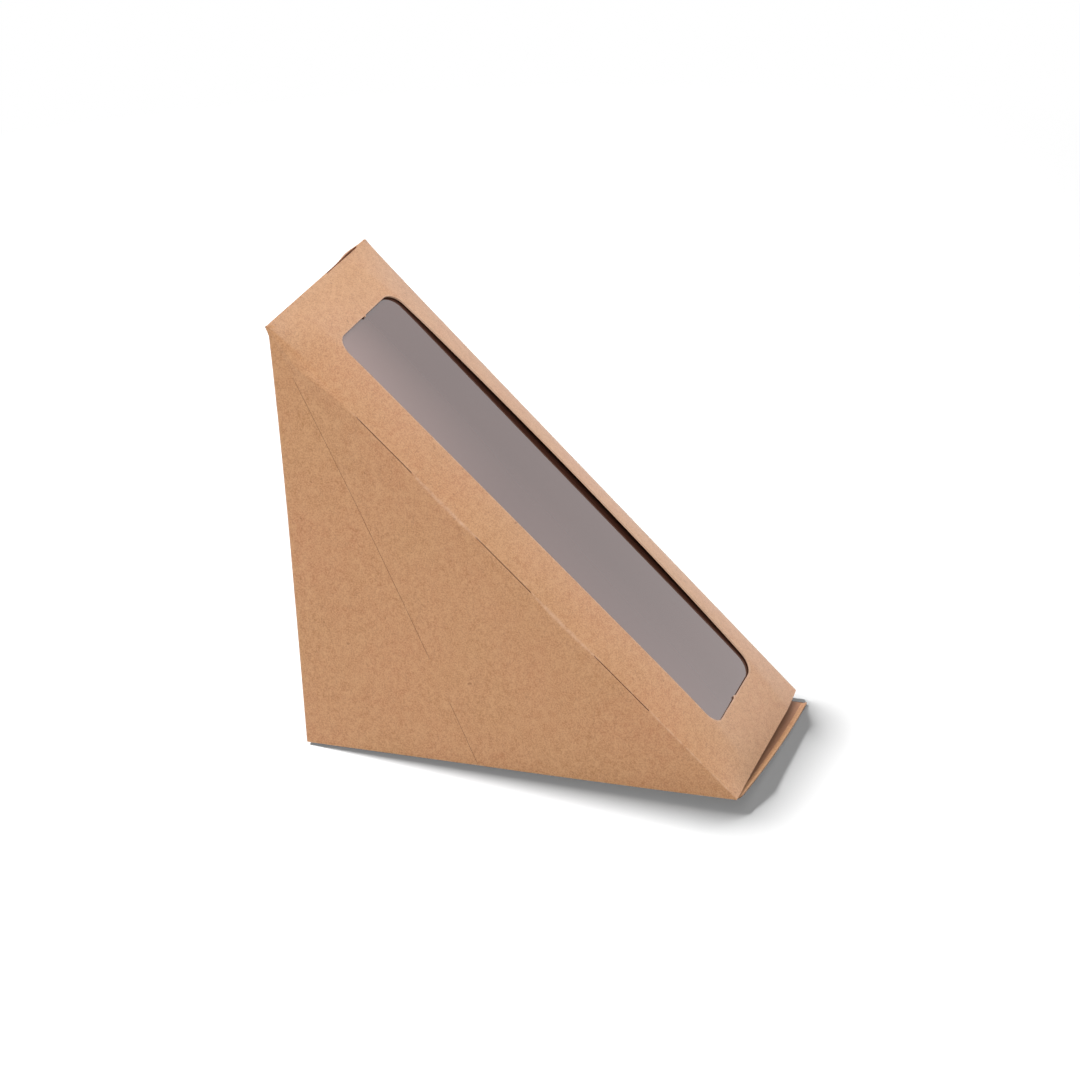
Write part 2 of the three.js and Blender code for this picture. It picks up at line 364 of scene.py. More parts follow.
FRONT_SLITS = 3
TOP_SLITS = 2
TOP_SLIT_LENGTH = 21 * MM
TOP_SLIT_PITCH = 33 * MM
FOLD_COLUMNS = 9
WING_COLUMNS = 7
QUARTER_STEPS = 6
APEX_ROWS = (0, 0.6, 1.4, 2.6, 4.2, 6.5)
ROW_STEP = 2.2 * MM
COLUMN_STEP = 2 * MM

# The knife cut in the gusset crease: half its width, the shares of its length, and the columns
# at its middle and its edges.
SCORE_HALF = 0.055 * MM
SCORE_SPANS = ((0.12, 0.757), (0.852, 1.01))
SCORE_SHARES = (0.49, 0.5, 0.51)

# The nicks in the window's ends: each one's place across and its end, up -1 or down 1.
NICKS = ((0.4 * MM, -1), (-0.4 * MM, 1))
NICK_DEPTH = 0.45 * MM
NICK_WIDTH = 0.3 * MM
NICK_MARKS = (-0.7 * MM, -0.3 * MM, 0, 0.3 * MM, 0.7 * MM)


def slope_rows(shape):
    """Rows down the front panel and the side panels, through every slit's end."""
    spans = slit_spans(shape.slope / 2, FRONT_SLITS, shape.slit_length, shape.slit_pitch)
    ends = shape.apex_start + np.array(APEX_ROWS) * MM
    marks = [*ends, *[end for span in spans for end in span], shape.front_end]
    creases = [shape.slope * end for span in SCORE_SPANS for end in span if end < 1]
    return even_steps([*marks, *creases], ROW_STEP), spans


def depth_columns(shape):
    """Columns across the pack, through every top slit's end and every nick."""
    spans = slit_spans(0, TOP_SLITS, TOP_SLIT_LENGTH, TOP_SLIT_PITCH)
    ends = [end for span in spans for end in span]
    nicks = [place + mark for place, _ in NICKS for mark in NICK_MARKS]
    return even_steps([-shape.half_depth, *ends, *nicks, shape.half_depth], COLUMN_STEP), spans


def ring_shares():
    """From the window's edge, with a thin first ring for its pale rim, to the panel's edge."""
    return np.concatenate([[0, 0.03], np.linspace(0.1, 1, 10)])


def front_ring(shape, rows, columns):
    """The front panel as rings between the window's edge and the panel's edge. Each point of
    the panel's edge is led to the window's edge through the nearest point of the window's core,
    a rectangle that lies one corner radius inside it. A nick is a narrow bell in the window's
    end."""
    near, far = crown_levels(shape, rows)
    near_edge = fold_start(shape, near, rows, True)[0]
    far_edge = fold_start(shape, far, rows, False)[0]
    ends = [np.interp(columns, [-shape.half_depth, shape.half_depth], [-near_edge[i], far_edge[i]])
            for i in (0, -1)]
    loop_x = np.concatenate([-near_edge[:-1], ends[1][:-1], far_edge[:0:-1], ends[0][:0:-1]])
    loop_s = np.concatenate([rows[:-1], np.full(len(columns) - 1, rows[-1]), rows[:0:-1],
                             np.full(len(columns) - 1, rows[0])])
    radius = shape.window_radius
    core_x = shape.window_width / 2 - radius
    core_s = shape.window_length / 2 - radius
    middle = shape.slope / 2
    near_x = np.clip(loop_x, -core_x, core_x)
    near_s = np.clip(loop_s, middle - core_s, middle + core_s)
    away = np.hypot(loop_x - near_x, loop_s - near_s)
    window_x = near_x + radius * (loop_x - near_x) / away
    window_s = near_s + radius * (loop_s - near_s) / away
    for place, end in NICKS:
        bump = np.exp(-((window_x - place) / NICK_WIDTH) ** 2) * (end * (window_s - middle) > core_s)
        window_s = window_s - end * NICK_DEPTH * bump
    share = ring_shares()[None, :]
    x = window_x[:, None] * (1 - share) + loop_x[:, None] * share
    s = window_s[:, None] * (1 - share) + loop_s[:, None] * share
    return front_point(shape, x, s, front_height(shape, x, s))


def long_fold(shape, rows, side):
    """A long fold: an arc across the edge, from the front panel's lean to the side panel."""
    level = crown_levels(shape, rows)[0 if side < 0 else 1]
    _, _, lean, radius = fold_start(shape, level, rows, side < 0)
    start = math.pi / 2 + lean[:, None]
    angle = start + (math.pi - start) * np.linspace(0, 1, FOLD_COLUMNS + 1)[None, :]
    radius = radius[:, None]
    x = side * (shape.half_depth - radius * (1 + np.cos(angle)))
    return front_point(shape, x, rows[:, None], radius * (np.sin(angle) - 1))


def apex_profile(shape, share):
    """The top fold's section: an arc from the front panel's face round to the back panel's."""
    angle = WEDGE_BEND * (1 - share)
    radius = shape.apex_radius
    y = shape.half_leg - radius + radius * np.cos(angle)
    z = shape.leg - shape.apex_start + radius * np.sin(angle)
    return y, z


def wing_shares():
    """Columns of a side panel as shares, front fold 0, crease 0.5, back fold 1."""
    half = np.linspace(0, 0.5, WING_COLUMNS + 1)
    return np.concatenate([half[:-1], SCORE_SHARES, (1 - half[:-1])[::-1]])


BACK_FOLD_GAP = 0.06 * MM
BACK_FOLD_RADIUS = 0.5 * MM
BACK_FOLD_RUN = 4 * MM
SCORE_MOST = 0.3


def back_fold(shape, rows):
    """How far the back fold lies inside the back panel's face, and its radius. Both grow evenly
    from nothing at the apex."""
    grown = np.clip((rows - shape.apex_start) / BACK_FOLD_RUN, 0, 1)
    return (shape.board + BACK_FOLD_GAP) * grown, BACK_FOLD_RADIUS * grown


def side_wing(shape, rows, side):
    """A side panel: each row runs from the long fold to the gusset crease and on to the back
    fold. Each row is as far down the crease as down both folds, so that all three fan out from
    the apex. The crease is pressed in by a tent across and a parabola down."""
    share = wing_shares()
    down = rows / shape.slope
    level = crown_levels(shape, rows)[0 if side < 0 else 1]
    radius = fold_start(shape, level, rows, side < 0)[3]
    front = front_point(shape, 0, rows, -radius)[:, 1:]
    crease = np.stack([shape.half_leg - (shape.half_leg - shape.crease_foot) * down,
                       shape.leg * (1 - down)], -1)
    inset, corner = back_fold(shape, rows)
    back = np.stack([shape.half_leg - inset - corner, shape.leg * (1 - down)], -1)
    narrow = np.minimum(SCORE_MOST, SCORE_HALF / np.linalg.norm(front - crease, axis=1))
    to_front = np.clip(1 - 2 * share, 0, 1)[None, :, None]
    to_back = np.clip(2 * share - 1, 0, 1)[None, :, None]
    front_edge, back_edge = [np.isclose(share, SCORE_SHARES[end])[None, :, None] for end in (0, -1)]
    to_front = np.where(front_edge, narrow[:, None, None], to_front)
    to_back = np.where(back_edge, narrow[:, None, None], to_back)
    flat = crease[:, None] + (front - crease)[:, None] * to_front + (back - crease)[:, None] * to_back
    tent = 1 - np.maximum(to_front, to_back)[..., 0]
    dent = shape.gusset_dent * tent * (4 * down * (1 - down))[:, None]
    wing = np.empty(flat.shape[:2] + (3,))
    wing[..., 0] = side * (shape.half_depth - dent)
    wing[..., 1:] = flat
    wing[0, :, 1], wing[0, :, 2] = apex_profile(shape, share)
    wing[0, :, 0] = side * shape.half_depth
    return wing


# The glue flap's width, its ramp up from the foot, the narrow strip that it keeps up to the
# apex, and the slant between.
GLUE_WIDTH = 12 * MM
GLUE_FOOT_START = 1 * MM
GLUE_FOOT_RUN = 8 * MM
GLUE_FOOT_LEAST = 0.3
GLUE_TIP = 0.6 * MM
GLUE_STRIP = 3.0 * MM
GLUE_STRIP_START = 2 * MM
GLUE_STRIP_RUN = 4 * MM
GLUE_SLANT_START = 22 * MM
GLUE_SLANT = 0.8
GLUE_STEPS = 5


def glue_flap(shape, rows, side):
    """The glue flap behind a side panel: round the back fold, then flat on the back panel's
    inner face. Its width climbs evenly from the foot, narrows on a slant below the apex, and
    stays a strip from there up, so that it closes the back panel's edge."""
    down = rows / shape.slope
    z = shape.leg * (1 - down)
    inset, radius = back_fold(shape, rows)
    angle = np.linspace(0, math.pi / 2, GLUE_STEPS)[None, :]
    width = GLUE_WIDTH * np.clip((z - GLUE_FOOT_START) / GLUE_FOOT_RUN, GLUE_FOOT_LEAST, 1)
    strip = np.clip((shape.leg - z - GLUE_STRIP_START) / GLUE_STRIP_RUN, 0, 1)
    slant = (shape.leg - GLUE_SLANT_START - z) * GLUE_SLANT
    width = np.minimum(width, np.maximum(GLUE_TIP + GLUE_STRIP * strip, slant))
    run = np.linspace(0, 1, GLUE_STEPS)[None, 1:]
    x = np.concatenate([radius[:, None] * (1 - np.cos(angle)),
                        radius[:, None] + width[:, None] * run], 1)
    y = shape.half_leg - inset[:, None] - radius[:, None] + np.concatenate(
        [radius[:, None] * np.sin(angle), np.repeat(radius[:, None], run.shape[1], 1)], 1)
    flap = np.empty(x.shape + (3,))
    flap[..., 0] = side * (shape.half_depth - x)
    flap[..., 1] = y
    flap[..., 2] = z[:, None]
    return flap


PROUD_SLOPE = 2.2
PROUD_START = 0.6


def apex_fold(shape, columns):
    """The top fold: its section carried across the pack. Behind the far slit the board stands
    proud by the back panel's bulge, which grows evenly round the fold."""
    share = wing_shares()[None, :]
    y, z = apex_profile(shape, share)
    x = np.repeat(columns[:, None], share.shape[1], 1)
    proud = back_bulge(shape, x, z) * np.clip(PROUD_SLOPE * share - PROUD_START, 0, 1)
    return np.stack([x, np.broadcast_to(y, x.shape) + proud, np.broadcast_to(z, x.shape)], -1)


BULGE = 0.9 * MM
BULGE_CENTRE = 22 * MM
BULGE_WIDTH = 6 * MM
BULGE_FALL = 14 * MM


def back_bulge(shape, x, z):
    """How far the back panel stands out by the far top slit: a bell across, fading downwards."""
    bell = np.exp(-((x - BULGE_CENTRE) / BULGE_WIDTH) ** 2)
    return BULGE * bell * np.exp(-np.maximum(shape.leg - z, 0) / BULGE_FALL)


BACK_ROWS = (0, 0.5, 1, 2, 3, 5, 8)
BACK_EVEN_START = 12 * MM
BACK_EVEN_ROWS = 24
SETBACK_RUN = 3 * MM


def back_sheet(shape, columns):
    """The back panel, from the top fold down to the lid's hinge: flat but for its bulge. Its
    edges are set back from the side panels, evenly more over the first stretch."""
    top = shape.leg - shape.apex_start
    even = np.linspace(top - BACK_EVEN_START, 0, BACK_EVEN_ROWS)
    z = np.concatenate([top - np.array(BACK_ROWS) * MM, even])
    x, z = np.meshgrid(columns, z, indexing="ij")
    x = x * (1 - shape.back_setback / shape.half_depth * np.clip((top - z) / SETBACK_RUN, 0, 1))
    y = shape.half_leg + back_bulge(shape, x, z)
    return np.stack([x, y, z], -1)


BASE_FOLD_RADIUS = 0.55 * MM
DUST_REACH = 21.4 * MM
DUST_TAPER = 7 * MM
DUST_TAPER_RUN = 12 * MM
DUST_TAPER_POWER = 0.8
DUST_INSET = 0.04 * MM
DUST_LIFT = 0.12 * MM
DUST_GAP = 2.5 * MM
DUST_TO_TUCK = 8 * MM
DUST_STEPS = 12
DUST_COLUMNS = 18


def dust_flap(shape, side, start, end):
    """A dust flap: from a side panel's foot round a small quarter fold and flat inwards. Each
    end is cut back by the taper times a power of how far in it is."""
    radius = BASE_FOLD_RADIUS
    angle = np.linspace(0, math.pi / 2, QUARTER_STEPS)
    flat = np.linspace(0, DUST_REACH, DUST_STEPS)[1:]
    reach = np.concatenate([radius * (1 - np.cos(angle)), radius + flat])
    height = np.concatenate([radius * (1 - np.sin(angle)), np.zeros(len(flat))])
    along = np.linspace(0, 1, DUST_COLUMNS)
    cut = DUST_TAPER * np.clip((reach - radius) / DUST_TAPER_RUN, 0, 1) ** DUST_TAPER_POWER
    y = (start + cut)[None, :] + (end - start - 2 * cut)[None, :] * along[:, None]
    flap = np.empty(y.shape + (3,))
    flap[..., 0] = side * (shape.half_depth - DUST_INSET - reach)[None, :]
    flap[..., 1] = y
    flap[..., 2] = height[None, :] + DUST_LIFT
    return flap


LID_DROP_POWER = 1.9
LID_CORNER_RUN = 0.8 * MM
LID_FOLD_RADIUS = 0.5 * MM
TUCK_TIP_RADIUS = 6 * MM
TUCK_CHAMFER = 4.5 * MM
TUCK_SETTLE = 4 * MM
TUCK_DIP_RUN = 1.4 * MM
TUCK_NEAR_DIP = 0.3
TUCK_DIP_SLOPE = 4
LID_COLUMNS = 61
LID_STEPS = 50
BEND_STEPS = 13
TUCK_STEPS = 19


def lid_share(shape, x):
    """How far x is across the lid, from 0 at its near edge to 1 at its far one."""
    half = shape.half_depth - shape.lid_setback
    return np.clip((x + half) / (2 * half), 0, 1)


def lid_drop(shape, x):
    """How far the lid's front hangs at x: 1 - (1 - share) ** power of the droop."""
    return shape.lid_level + shape.lid_droop * (1 - (1 - lid_share(shape, x)) ** LID_DROP_POWER)


def lid_push(shape, x):
    """How far the lid's front fold stands out at x: all along it but for the near corner."""
    return shape.lid_push * (1 - np.exp(-lid_share(shape, x) * shape.depth / LID_CORNER_RUN))


def lid_sheet(shape):
    """The lid's outer face carried along a path: round the hinge fold, along the underside,
    round the front fold and up the tuck. Each column has its own drop, and each row its width.
    Above its fold the tuck falls back by exponentials: slowly from the fold's push, and quickly
    by the dip under the front panel."""
    columns = np.linspace(-1, 1, LID_COLUMNS)[:, None]
    half = shape.half_depth - shape.lid_setback
    turn = np.linspace(0, math.pi / 2, QUARTER_STEPS)
    run = np.linspace(0, 1, LID_STEPS)[1:]
    setback = LID_FOLD_RADIUS / math.tan(HALF_BASE_ANGLE)
    bend = np.linspace(0, WEDGE_BEND, BEND_STEPS)[1:]
    tuck = shape.tuck_length * np.linspace(0, 1, TUCK_STEPS)[1:]
    tip = TUCK_TIP_RADIUS
    into_tip = np.clip(tuck - (shape.tuck_length - tip), 0, tip)
    tuck_half = half - shape.lid_taper - np.minimum(tuck, TUCK_CHAMFER)
    tuck_half = tuck_half - (tip - np.sqrt(tip ** 2 - into_tip ** 2))
    onward = np.concatenate([np.zeros(len(turn)), run, np.ones(len(bend) + len(tuck))])
    row_half = np.concatenate([half - shape.lid_taper * onward[:len(turn) + len(run)],
                               np.full(len(bend), half - shape.lid_taper), tuck_half])
    x = columns * row_half[None, :] - shape.lid_skew * onward[None, :]
    drop = lid_drop(shape, x)
    push = lid_push(shape, x)
    fold_y = -shape.half_leg + shape.lid_level * math.sqrt(2) - drop
    slope_y = fold_y - push + setback
    y = np.empty_like(x)
    z = np.empty_like(x)
    a, b, c = np.cumsum([len(turn), len(run), len(bend)])
    y[:, :a] = shape.half_leg - BASE_FOLD_RADIUS * (1 - np.cos(turn))
    z[:, :a] = -shape.lid_level + BASE_FOLD_RADIUS * (1 - np.sin(turn))
    start_y = shape.half_leg - BASE_FOLD_RADIUS
    y[:, a:b] = start_y + (slope_y[:, a:b] - start_y) * run
    z[:, a:b] = -shape.lid_level + (shape.lid_level - drop[:, a:b]) * run
    y[:, b:c] = slope_y[:, b:c] - LID_FOLD_RADIUS * np.sin(bend)
    z[:, b:c] = -drop[:, b:c] + LID_FOLD_RADIUS * (1 - np.cos(bend))
    climb = setback + (shape.tuck_length - setback) * (tuck / shape.tuck_length)
    settle = np.exp(-(climb - setback) / TUCK_SETTLE)
    dip = 1 - np.exp(-(climb - setback) / TUCK_DIP_RUN)
    across = np.clip(TUCK_NEAR_DIP + lid_share(shape, x[:, c:]) * TUCK_DIP_SLOPE, 0, 1)
    sink = shape.tuck_sink * dip * across
    y[:, c:] = fold_y[:, c:] - push[:, c:] * settle + (climb + sink) * HALF_ROOT
    z[:, c:] = -drop[:, c:] + (climb - sink) * HALF_ROOT
    return np.stack([x, y, z], -1)


FILM_GAP = 0.12 * MM
FILM_GRID = (49, 121)


def film_sheet(shape):
    """The film behind the window: it follows the panel's inner face, with a lower far side."""
    half_x = shape.window_width / 2 + shape.film_lap
    half_s = shape.window_length / 2 + shape.film_lap
    x, s = np.meshgrid(np.linspace(-half_x, half_x, FILM_GRID[0]),
                       shape.slope / 2 + np.linspace(-half_s, half_s, FILM_GRID[1]), indexing="ij")
    h = front_height(shape, x, s, shape.film_belly) - shape.board - FILM_GAP
    return front_point(shape, x, s, h)


class Nodes:
    """Adds and links shader nodes from left to right. A value that is a socket is linked, and
    any other is set on the input itself."""

    def __init__(self, name):
        self.material = bpy.data.materials.new(name)
        self.material.use_nodes = True
        self.tree = self.material.node_tree
        self.tree.nodes.clear()
        self.place = 0

    def add(self, kind, settings=None, **inputs):
        node = self.tree.nodes.new(kind)
        node.location = (self.place * 190, -40 * (self.place % 5))
        self.place += 1
        for key, value in (settings or {}).items():
            setattr(node, key, value)
        for key, value in inputs.items():
            self.put(node, key.replace("_", " "), value)
        return node

    def put(self, node, key, value):
        socket = node.inputs[int(key)] if key.isdigit() else node.inputs[key]
        if isinstance(value, bpy.types.NodeSocket):
            self.tree.links.new(value, socket)
        else:
            socket.default_value = value

    def calc(self, operation, *values):
        node = self.add("ShaderNodeMath", {"operation": operation})
        for key, value in enumerate(values):
            self.put(node, str(key), value)
        return node.outputs[0]

    def noise(self, where, scale, detail=3.0, roughness=0.55):
        node = self.add("ShaderNodeTexNoise", Vector=where, Scale=scale, Detail=detail,
                        Roughness=roughness)
        return node.outputs["Fac"]

    def remap(self, value, low, high, to_low=0.0, to_high=1.0):
        node = self.add("ShaderNodeMapRange")
        for key, number in enumerate((value, low, high, to_low, to_high)):
            self.put(node, str(key), number)
        return node.outputs["Result"]

    def mix(self, share, first, second):
        node = self.add("ShaderNodeMix", {"data_type": "RGBA"})
        self.put(node, "0", share)
        self.put(node, "6", first)
        self.put(node, "7", second)
        return node.outputs[2]


def rgba(tone):
    """A colour as a shader socket takes it, fully opaque."""
    return (*tone[:3], 1.0)


# How fine the board's patterns are, in spots per metre, and the turn and fineness of its hairs.
CLOUD_SCALE = 38.0
MOTTLE_SCALE = 480.0
GRAIN_SCALE = 2300.0
SPECK_SCALE = 520.0
HAIRS = ((0.6, 420.0), (2.1, 520.0))
TOOTH_DEPTH = 0.09 * MM


def kraft_material(colours, name, wash, share):
    """Uncoated kraft: soft clouds, matted fibres, short dark hairs, flecks and a fine tooth, under a
    share of a wash of colour; the inside's wash is painted shade. Creases are worn pale in patches,
    and the window's rim is paled in the same patches. On the inside and the cut edges, the board by
    each knife cut takes the slit colour as painted shade."""
    nodes = Nodes(name)
    where = nodes.add("ShaderNodeTexCoord").outputs["Object"]
    cloud = nodes.noise(where, CLOUD_SCALE)
    mottle = nodes.noise(where, MOTTLE_SCALE, 4.0, 0.7)
    grain = nodes.noise(where, GRAIN_SCALE, 3.0, 0.7)
    speck = nodes.noise(where, SPECK_SCALE, 1.0)
    base = nodes.mix(nodes.remap(cloud, 0.35, 0.65), rgba(colours.kraft), rgba(colours.kraft_red))
    base = nodes.mix(nodes.remap(mottle, 0.36, 0.66, 0.0, 0.6), base, rgba(colours.kraft_light))
    base = nodes.mix(nodes.remap(grain, 0.44, 0.62, 0.0, 0.75), base, rgba(colours.kraft_light))
    base = nodes.mix(nodes.remap(grain, 0.47, 0.33, 0.0, 0.35), base, rgba(colours.kraft_dark))
    for turn, scale in HAIRS:
        line = nodes.add("ShaderNodeMapping", Vector=where, Scale=(1.0, 1.7, 0.8),
                         Rotation=(turn, 0.5 * turn, 0.3)).outputs["Vector"]
        wave = nodes.calc("ABSOLUTE", nodes.calc("SUBTRACT", nodes.noise(line, scale, 2.0, 0.5), 0.5))
        patches = nodes.remap(nodes.noise(line, 0.6 * scale, 1.0), 0.50, 0.60)
        hair = nodes.calc("MULTIPLY", nodes.remap(wave, 0.004, 0.024, 0.3, 0.0), patches)
        base = nodes.mix(hair, base, rgba(colours.kraft_dark))
    base = nodes.mix(nodes.remap(speck, 0.76, 0.80, 0.0, 0.6), base, rgba(colours.kraft_dark))
    fold = nodes.add("ShaderNodeAttribute", {"attribute_name": "fold"})
    worn = nodes.calc("MULTIPLY", fold.outputs["Fac"], nodes.remap(mottle, 0.30, 0.62, 0.1, 0.6))
    base = nodes.mix(worn, base, rgba(colours.cut_edge))
    if share:
        # The inside's wash darkens the inner faces as painted shade; the cut edge's wash is its own
        # pale colour. The slit colour paints shade by the knife cuts.
        base = nodes.mix(share, base, rgba(wash))
        slit = nodes.add("ShaderNodeAttribute", {"attribute_name": "slit"})
        base = nodes.mix(slit.outputs["Fac"], base, rgba(colours.slit))
    relief = nodes.mix(0.5, grain, mottle)
    bump = nodes.add("ShaderNodeBump", Strength=0.45, Distance=TOOTH_DEPTH, Height=relief)
    shader = nodes.add("ShaderNodeBsdfPrincipled", Base_Color=base, Roughness=0.52,
                       Specular_IOR_Level=0.5, Sheen_Weight=0.10, Sheen_Roughness=0.5,
                       Normal=bump.outputs["Normal"])
    nodes.add("ShaderNodeOutputMaterial", Surface=shader.outputs["BSDF"])
    return nodes.material


# Where the film's painted light fades in, up the pack and from its middle towards its near side.
PAINTED_LIGHT_HEIGHT = (75 * MM, 112 * MM)
PAINTED_LIGHT_ACROSS = (2 * MM, -18 * MM)
PAINTED_LIGHT_LEAST = 0.25


def film_material(colours):
    """Thin film: a glossy mirror of the studio with faint rub marks. Its nearly opaque dark brown body
    is painted shade, standing in for the shaded inside of the pack seen through the clear film, and a
    patch of painted light lightens it towards its near top corner."""
    nodes = Nodes("clear_film")
    where = nodes.add("ShaderNodeTexCoord").outputs["Object"]
    haze = nodes.noise(where, 28.0, 2.0)
    split = nodes.add("ShaderNodeSeparateXYZ", Vector=where)
    # Painted light: the film lightens towards its near top corner.
    high = nodes.remap(split.outputs["Z"], *PAINTED_LIGHT_HEIGHT, PAINTED_LIGHT_LEAST, 1.0)
    corner = nodes.calc("MULTIPLY", high, nodes.remap(split.outputs["X"], *PAINTED_LIGHT_ACROSS))
    # Painted shade: the body's dark brown stands in for the shaded inside; the noise varies it as
    # faint rub marks.
    tone = nodes.mix(nodes.remap(haze, 0.3, 0.7, 0.0, 0.3), rgba(colours.film),
                     rgba([c * 1.6 for c in colours.film]))
    tone = nodes.mix(corner, tone, rgba(colours.film_haze))
    rough = nodes.remap(nodes.noise(where, 60.0, 2.0), 0.3, 0.7, 0.03, 0.06)
    shader = nodes.add("ShaderNodeBsdfPrincipled", Base_Color=tone, Roughness=rough, IOR=1.52,
                       Specular_Tint=(1.0, 0.90, 0.93, 1.0), Alpha=0.96)
    nodes.add("ShaderNodeOutputMaterial", Surface=shader.outputs["BSDF"])
    return nodes.material


# The floor's tone where it is seen and where it lights the pack, and the distances from the
# pack over which it goes over to plain white.
FLOOR_SEEN = 0.07
FLOOR_BOUNCE = 0.034
FLOOR_WHITE = (0.34, 0.60)
FLOOR_REACH = 4.0
WORLD_LEVEL = 0.45

# Each lamp's name, place, side in metres and power in watts. The floor's lamps light it alone.
LAMP_TARGET = (0, 0, 0.05)
SOFTBOXES = (("right_softbox", (1.72, -0.75, 0.82), 1.4, 12.0),
             ("left_softbox", (-1.05, 0.10, 1.05), 0.9, 10.5),
             ("top_softbox", (0.0, 0.45, 1.55), 0.8, 8.0))
FLOOR_LAMPS = (("floor_lamp", (0.065, 1.46, 1.44), 0.18, 800.0),
               ("floor_fill", (-2.176, -0.723, 1.099), 0.40, 380.0))


def direct_ray(tree):
    """1 for camera, glossy and transmission rays, else 0."""
    path = tree.nodes.new("ShaderNodeLightPath")
    first = tree.nodes.new("ShaderNodeMath")
    second = tree.nodes.new("ShaderNodeMath")
    first.operation = second.operation = "MAXIMUM"
    tree.links.new(path.outputs["Is Camera Ray"], first.inputs[0])
    tree.links.new(path.outputs["Is Glossy Ray"], first.inputs[1])
    tree.links.new(first.outputs[0], second.inputs[0])
    tree.links.new(path.outputs["Is Transmission Ray"], second.inputs[1])
    return second.outputs[0]


def floor_material():
    """A matt floor, so brightly lit that it turns white, with the shadows as greys. Away from
    the pack it goes over to plain white where it is seen directly. Its bounce on the pack is
    kept to that of a plain pale table."""
    nodes = Nodes("studio_floor")
    direct = direct_ray(nodes.tree)
    tone = nodes.mix(direct, rgba((FLOOR_BOUNCE,) * 3), rgba((FLOOR_SEEN,) * 3))
    shader = nodes.add("ShaderNodeBsdfDiffuse", Color=tone)
    where = nodes.add("ShaderNodeTexCoord").outputs["Object"]
    away = nodes.add("ShaderNodeVectorMath", {"operation": "LENGTH"}, Vector=where)
    share = nodes.calc("MULTIPLY", direct, nodes.remap(away.outputs["Value"], *FLOOR_WHITE))
    white = nodes.add("ShaderNodeEmission", Color=(1.0, 1.0, 1.0, 1.0), Strength=1.0)
    both = nodes.add("ShaderNodeMixShader", Fac=share)
    nodes.put(both, "1", shader.outputs["BSDF"])
    nodes.put(both, "2", white.outputs["Emission"])
    nodes.add("ShaderNodeOutputMaterial", Surface=both.outputs["Shader"])
    return nodes.material


def set_world(context):
    """Plain studio surroundings: a soft level for lighting, white where seen directly."""
    world = bpy.data.worlds.new("studio")
    context.scene.world = world
    world.use_nodes = True
    tree = world.node_tree
    tree.nodes.clear()
    soft = tree.nodes.new("ShaderNodeBackground")
    soft.inputs["Strength"].default_value = WORLD_LEVEL
    soft.inputs["Color"].default_value = (1, 1, 1, 1)
    white = tree.nodes.new("ShaderNodeBackground")
    white.inputs["Color"].default_value = (1, 1, 1, 1)
    mix = tree.nodes.new("ShaderNodeMixShader")
    tree.links.new(direct_ray(tree), mix.inputs[0])
    tree.links.new(soft.outputs[0], mix.inputs[1])
    tree.links.new(white.outputs[0], mix.inputs[2])
    output = tree.nodes.new("ShaderNodeOutputWorld")
    tree.links.new(mix.outputs[0], output.inputs["Surface"])


def add_lamp(context, name, place, target, size, power):
    """A square softbox at a place, turned to its target."""
    lamp = bpy.data.lights.new(name, "AREA")
    lamp.shape = "SQUARE"
    lamp.size = size
    lamp.energy = power
    holder = bpy.data.objects.new(name, lamp)
    context.scene.collection.objects.link(holder)
    aim = Vector(target) - Vector(place)
    holder.matrix_world = Matrix.Translation(place) @ aim.to_track_quat("-Z", "Y").to_matrix().to_4x4()
    return holder


CAMERA_PLACE = (-0.69617, -0.25091, 0.41465)
CAMERA_TARGET = (0.02052, 0.01009, 0.04579)
CAMERA_ROLL = math.radians(-1.6)
CAMERA_LENS = 100.0
SENSOR_WIDTH = 36.0


def add_camera(context):
    """The photograph's long lens: slightly above the pack, looking at its near side."""
    data = bpy.data.cameras.new("camera")
    data.lens = CAMERA_LENS
    data.sensor_width = SENSOR_WIDTH
    camera = bpy.data.objects.new("camera", data)
    context.scene.collection.objects.link(camera)
    aim = Vector(CAMERA_TARGET) - Vector(CAMERA_PLACE)
    turn = aim.to_track_quat("-Z", "Y").to_matrix() @ Matrix.Rotation(CAMERA_ROLL, 3, "Z")
    camera.matrix_world = Matrix.Translation(CAMERA_PLACE) @ turn.to_4x4()
    context.scene.camera = camera


def board_materials(context):
    """The board's face, its inside, darkened as painted shade, and its cut edge."""
    colours = context.scene.wedge_colours
    # The inside's wash is painted shade.
    kinds = {"kraft_face": (colours.kraft, 0.0), "kraft_inside_painted_shade": (colours.inside, 0.75),
             "kraft_cut_edge": (colours.cut_edge, 0.8)}
    return [bpy.data.materials.get(name) or kraft_material(colours, name, *kind)
            for name, kind in kinds.items()]


class WEDGE_OT_stage(bpy.types.Operator):
    """Sets the floor, the lamps, the surroundings and the camera."""
    bl_idname = "wedge.stage"
    bl_label = "Studio stage"

    def execute(self, context):
        context.scene.view_settings.view_transform = "Standard"
        mesh = bpy.data.meshes.new("floor")
        signs = ((-1, -1), (1, -1), (1, 1), (-1, 1))
        corners = [(FLOOR_REACH * x, FLOOR_REACH * y, 0) for x, y in signs]
        mesh.from_pydata(corners, [], [(0, 1, 2, 3)])
        floor = bpy.data.objects.new("floor", mesh)
        context.scene.collection.objects.link(floor)
        mesh.materials.append(floor_material())
        set_world(context)
        for name, place, size, power in SOFTBOXES:
            add_lamp(context, name, place, LAMP_TARGET, size, power)
        receivers = bpy.data.collections.new("floor_lamp_receivers")
        receivers.objects.link(floor)
        for name, place, size, power in FLOOR_LAMPS:
            lamp = add_lamp(context, name, place, (0, 0, 0), size, power)
            lamp.light_linking.receiver_collection = receivers
        add_camera(context)
        return {"FINISHED"}


